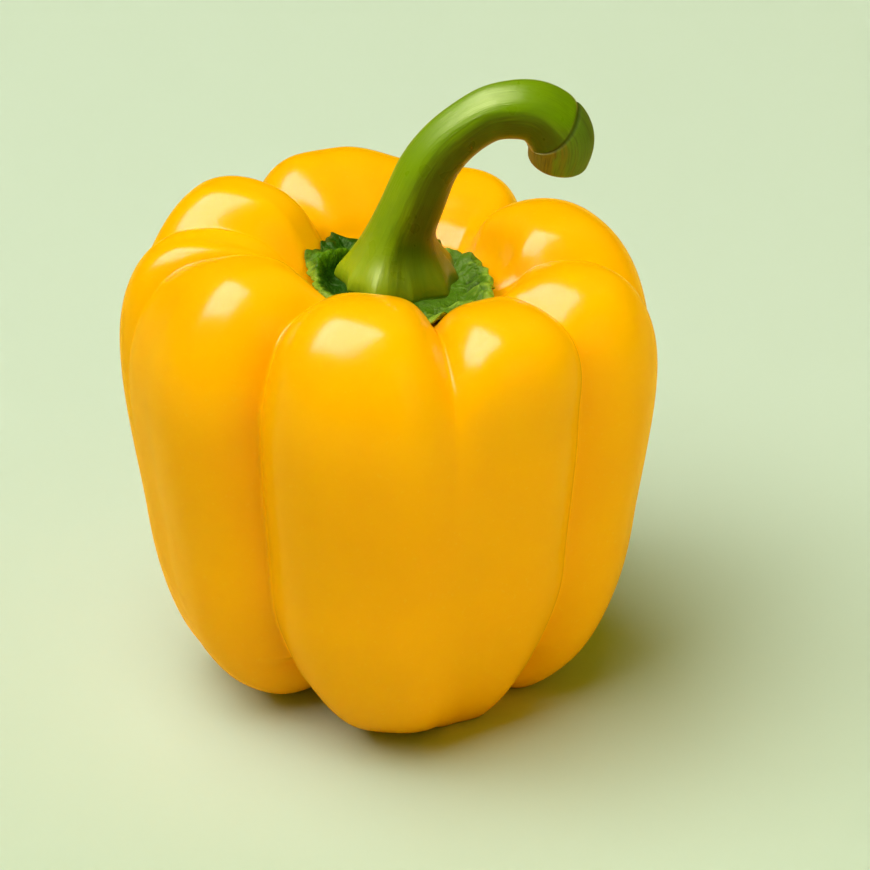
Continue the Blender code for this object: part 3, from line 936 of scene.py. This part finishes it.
class PepperSettings(bpy.types.PropertyGroup):
    """Colours, gloss and light that a user would change."""

    skin_colour: bpy.props.FloatVectorProperty(
        name="Skin colour", description="Main colour of the pod", subtype="COLOR", size=3,
        min=0.0, max=1.0, default=(1.0, 0.47, 0.0),
    )
    skin_low_colour: bpy.props.FloatVectorProperty(
        name="Lower skin colour", description="Colour of the pod's lower half", subtype="COLOR", size=3,
        min=0.0, max=1.0, default=(0.98, 0.41, 0.0),
    )
    skin_deep_colour: bpy.props.FloatVectorProperty(
        name="Deep skin colour", description="Orange of the mottling and the feet", subtype="COLOR", size=3,
        min=0.0, max=1.0, default=(0.90, 0.33, 0.0),
    )
    skin_roughness: bpy.props.FloatProperty(
        name="Skin roughness", description="Roughness of the waxy skin", min=0.0, max=1.0, default=0.20,
    )
    calyx_colour: bpy.props.FloatVectorProperty(
        name="Calyx colour", description="Main green of the calyx", subtype="COLOR", size=3,
        min=0.0, max=1.0, default=(0.020, 0.088, 0.001),
    )
    stem_colour: bpy.props.FloatVectorProperty(
        name="Stem colour", description="Main green of the stem", subtype="COLOR", size=3,
        min=0.0, max=1.0, default=(0.20, 0.34, 0.001),
    )
    floor_colour: bpy.props.FloatVectorProperty(
        name="Floor colour", description="Colour of the plain floor", subtype="COLOR", size=3,
        min=0.0, max=1.0, default=(0.660, 0.772, 0.675),
    )
    # Painted shade of the floor's front.
    floor_front_shade_colour: bpy.props.FloatVectorProperty(
        name="Floor front colour", description="Colour of the floor in front", subtype="COLOR", size=3,
        min=0.0, max=1.0, default=(0.585, 0.715, 0.560),
    )
    # Painted reflection: the floor's colour in the skin's mirror.
    floor_painted_reflection_colour: bpy.props.FloatVectorProperty(
        name="Mirrored floor colour", description="The floor as the waxy skin mirrors it",
        subtype="COLOR", size=3, min=0.0, max=1.0, default=(0.95, 0.62, 0.10),
    )
    key_power: bpy.props.FloatProperty(
        name="Key power", description="Power of the large softbox", unit="POWER", min=0.0, default=110.0,
    )
    front_power: bpy.props.FloatProperty(
        name="Front power", description="Power of the low panel in front", unit="POWER",
        min=0.0, default=32.0,
    )
    fill_strength: bpy.props.FloatProperty(
        name="Fill strength", description="Strength of the even light from all round",
        min=0.0, default=0.21,
    )


def finish_piece(piece, node):
    """Lets the piece stand for a node: hides the node's part and puts the piece on the one body."""
    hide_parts(node)
    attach(piece, "root")


class PEPPER_OT_pod(bpy.types.Operator):
    """Builds the lobed pod with its waxy skin"""

    bl_idname = "pepper.pod"
    bl_label = "Build Pod"

    def execute(self, context):
        columns = POD_COLUMNS_PER_LOBE * len(LOBES)
        turn = np.arange(columns) / columns * len(LOBES)
        turn = turn - COLUMN_CROWDING * np.sin(TAU * turn) / TAU
        points, depth = pod_surface(*every_pair(turn, POD_ROWS))
        # The feet are flat where they stand on the floor.
        points[:, 2] = np.maximum(points[:, 2], 0.0)
        material = pod_material(context.scene.pepper)
        piece = closed_piece("waxy_pod", points, POD_ROWS, material, {"crease": depth})
        finish_piece(piece, "fruit")
        return {"FINISHED"}


class PEPPER_OT_calyx(bpy.types.Operator):
    """Builds the crinkled green calyx in the pod's hollow"""

    bl_idname = "pepper.calyx"
    bl_label = "Build Calyx"

    def execute(self, context):
        points, ridge, rim = calyx_surface(*every_pair(angles_round(CALYX_COLUMNS), CALYX_ROWS))
        layers = {"ridge": ridge, "rim": rim}
        material = calyx_material(context.scene.pepper)
        piece = closed_piece("crinkled_calyx", points, CALYX_ROWS, material, layers)
        finish_piece(piece, "calyx")
        return {"FINISHED"}


class PEPPER_OT_stem(bpy.types.Operator):
    """Builds the ribbed, hooked stem with its swollen end"""

    bl_idname = "pepper.stem"
    bl_label = "Build Stem"

    def execute(self, context):
        angles, steps = every_pair(angles_round(STEM_COLUMNS), STEM_ROWS)
        points, share, past_ring = stem_surface(angles, steps)
        grain = np.stack([np.cos(angles), np.sin(angles), share * STEM_LENGTH], axis=-1)
        layers = {"along": share, "past_ring": past_ring, "inside": -np.cos(angles), "grain": grain}
        material = stem_material(context.scene.pepper)
        piece = closed_piece("ribbed_stem", points, STEM_ROWS, material, layers)
        finish_piece(piece, "stem")
        return {"FINISHED"}


class PEPPER_OT_stage(bpy.types.Operator):
    """Builds the floor, the studio light and the camera"""

    bl_idname = "pepper.stage"
    bl_label = "Build Stage"

    def execute(self, context):
        settings = context.scene.pepper
        scene = context.scene
        shift = pod_shift()
        mesh = bpy.data.meshes.new("floor")
        half = FLOOR_HALF
        corners = [(-half, -half, 0.0), (half, -half, 0.0), (half, half, 0.0), (-half, half, 0.0)]
        mesh.from_pydata(corners, [], [(0, 1, 2, 3)])
        mesh.materials.append(floor_material(settings))
        floor = bpy.data.objects.new("floor", mesh)
        scene.collection.objects.link(floor)

        target = shift + np.array(LAMP_TARGET)
        pod = bpy.data.collections.new("pod_alone")
        pod.objects.link(bpy.data.objects["waxy_pod"])
        stem = bpy.data.collections.new("casts_no_shadow")
        stem.objects.link(bpy.data.objects["ribbed_stem"])
        stem.collection_objects[0].light_linking.link_state = "EXCLUDE"
        for softbox in (KEY, SHEEN):
            hang(softbox, settings.key_power, target, pod, stem)
        for panel in (FRONT, BACK):
            hang(panel, settings.front_power, target, pod, stem)
        scene.world = studio_air(settings)

        lens = bpy.data.cameras.new("studio_camera")
        lens.lens = CAMERA_LENS
        lens.sensor_width = CAMERA_SENSOR
        lens.clip_start = CAMERA_NEAR
        camera = bpy.data.objects.new("studio_camera", lens)
        scene.collection.objects.link(camera)
        back = np.array([0.0, -math.cos(CAMERA_ELEVATION), math.sin(CAMERA_ELEVATION)])
        up = np.array([0.0, math.sin(CAMERA_ELEVATION), math.cos(CAMERA_ELEVATION)])
        look = shift + np.array([CAMERA_AIM[0], 0.0, CAMERA_AIM[1]]) + up * CAMERA_LIFT
        aim(camera, look + back * CAMERA_DISTANCE, look)
        scene.camera = camera
        scene.view_settings.view_transform = "Standard"
        return {"FINISHED"}


class PEPPER_PT_panel(bpy.types.Panel):
    """Lists the pieces and the settings"""

    bl_idname = "PEPPER_PT_panel"
    bl_label = "Bell Pepper"
    bl_space_type = "VIEW_3D"
    bl_region_type = "UI"
    bl_category = "Pepper"

    def draw(self, context):
        settings = context.scene.pepper
        for name in PepperSettings.__annotations__:
            self.layout.prop(settings, name)
        for operator in OPERATORS:
            self.layout.operator(operator.bl_idname)


OPERATORS = (PEPPER_OT_pod, PEPPER_OT_calyx, PEPPER_OT_stem, PEPPER_OT_stage)
CLASSES = (PepperSettings, *OPERATORS, PEPPER_PT_panel)


def register():
    """Registers the classes, and puts the settings on the scene."""
    for each in CLASSES:
        bpy.utils.register_class(each)
    bpy.types.Scene.pepper = bpy.props.PointerProperty(type=PepperSettings)


def unregister():
    """Takes away what register added."""
    del bpy.types.Scene.pepper
    for each in reversed(CLASSES):
        bpy.utils.unregister_class(each)


def main():
    """Builds the pepper and its stage."""
    register()
    bpy.ops.pepper.pod()
    bpy.ops.pepper.calyx()
    bpy.ops.pepper.stem()
    bpy.ops.pepper.stage()
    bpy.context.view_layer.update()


if __name__ == "__main__":
    main()
